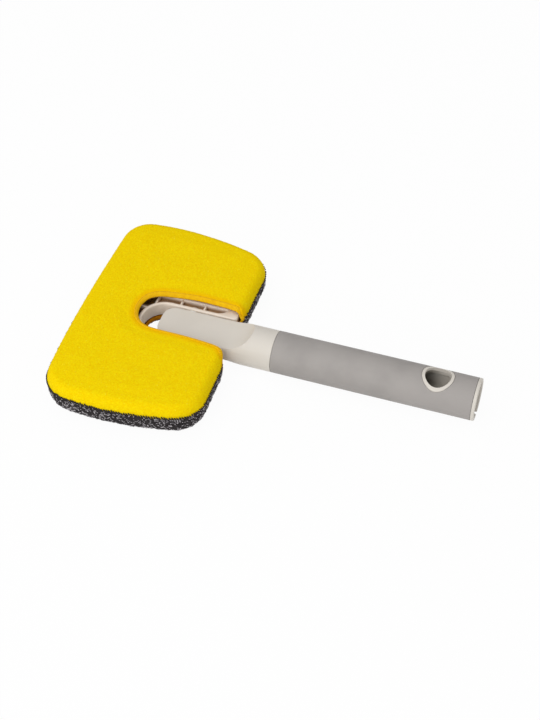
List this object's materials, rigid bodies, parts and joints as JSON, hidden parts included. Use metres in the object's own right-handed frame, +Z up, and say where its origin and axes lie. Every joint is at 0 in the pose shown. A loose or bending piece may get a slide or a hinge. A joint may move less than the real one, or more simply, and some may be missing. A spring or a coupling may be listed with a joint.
{
  "type": "cleaning brush",
  "caption": "Bath cleaning brush: a wide padded head in a sewn cover, and a round handle that tilts in a slot of the head.",
  "frame": {"origin": "on the floor under the middle of the brush's length and width, with the brush lying flat", "axes": "+X along the handle to its tail, +Y across the head, +Z up out of the yellow face"},
  "size_m": [0.3006, 0.1882, 0.031],
  "materials": {
    "ivory_plastic": "satin moulded ivory",
    "yellow_scouring_cloth": "fuzzy looped cloth",
    "charcoal_knit": "coarse knit with silver yarn",
    "orange_elastic": "ribbed elastic",
    "pale_sponge": "open-cell sponge",
    "stainless_steel": "turned",
    "white_acetal": "smooth",
    "soft_grey_grip": "soft matt"
  },
  "bodies": {
    "head": {"head_frame": "ivory_plastic", "scouring_face": "yellow_scouring_cloth", "scrub_face": "charcoal_knit", "upper_foam_pad": "pale_sponge", "lower_foam_pad": "pale_sponge", "opening_binding": "orange_elastic", "pivot_pin": "stainless_steel", "pin_retaining_ring": "stainless_steel", "friction_washer_left": "white_acetal", "friction_washer_right": "white_acetal"},
    "handle": {"handle_core": "ivory_plastic", "grip_sleeve": "soft_grey_grip"}
  },
  "joints": [
    {"name": "head_tilt", "type": "hinge", "parent": "head", "child": "handle", "pos_m": [-0.06975, 0, 0.0155], "axis": [0, -1, 0], "range_deg": [-140, 140]}
  ]
}
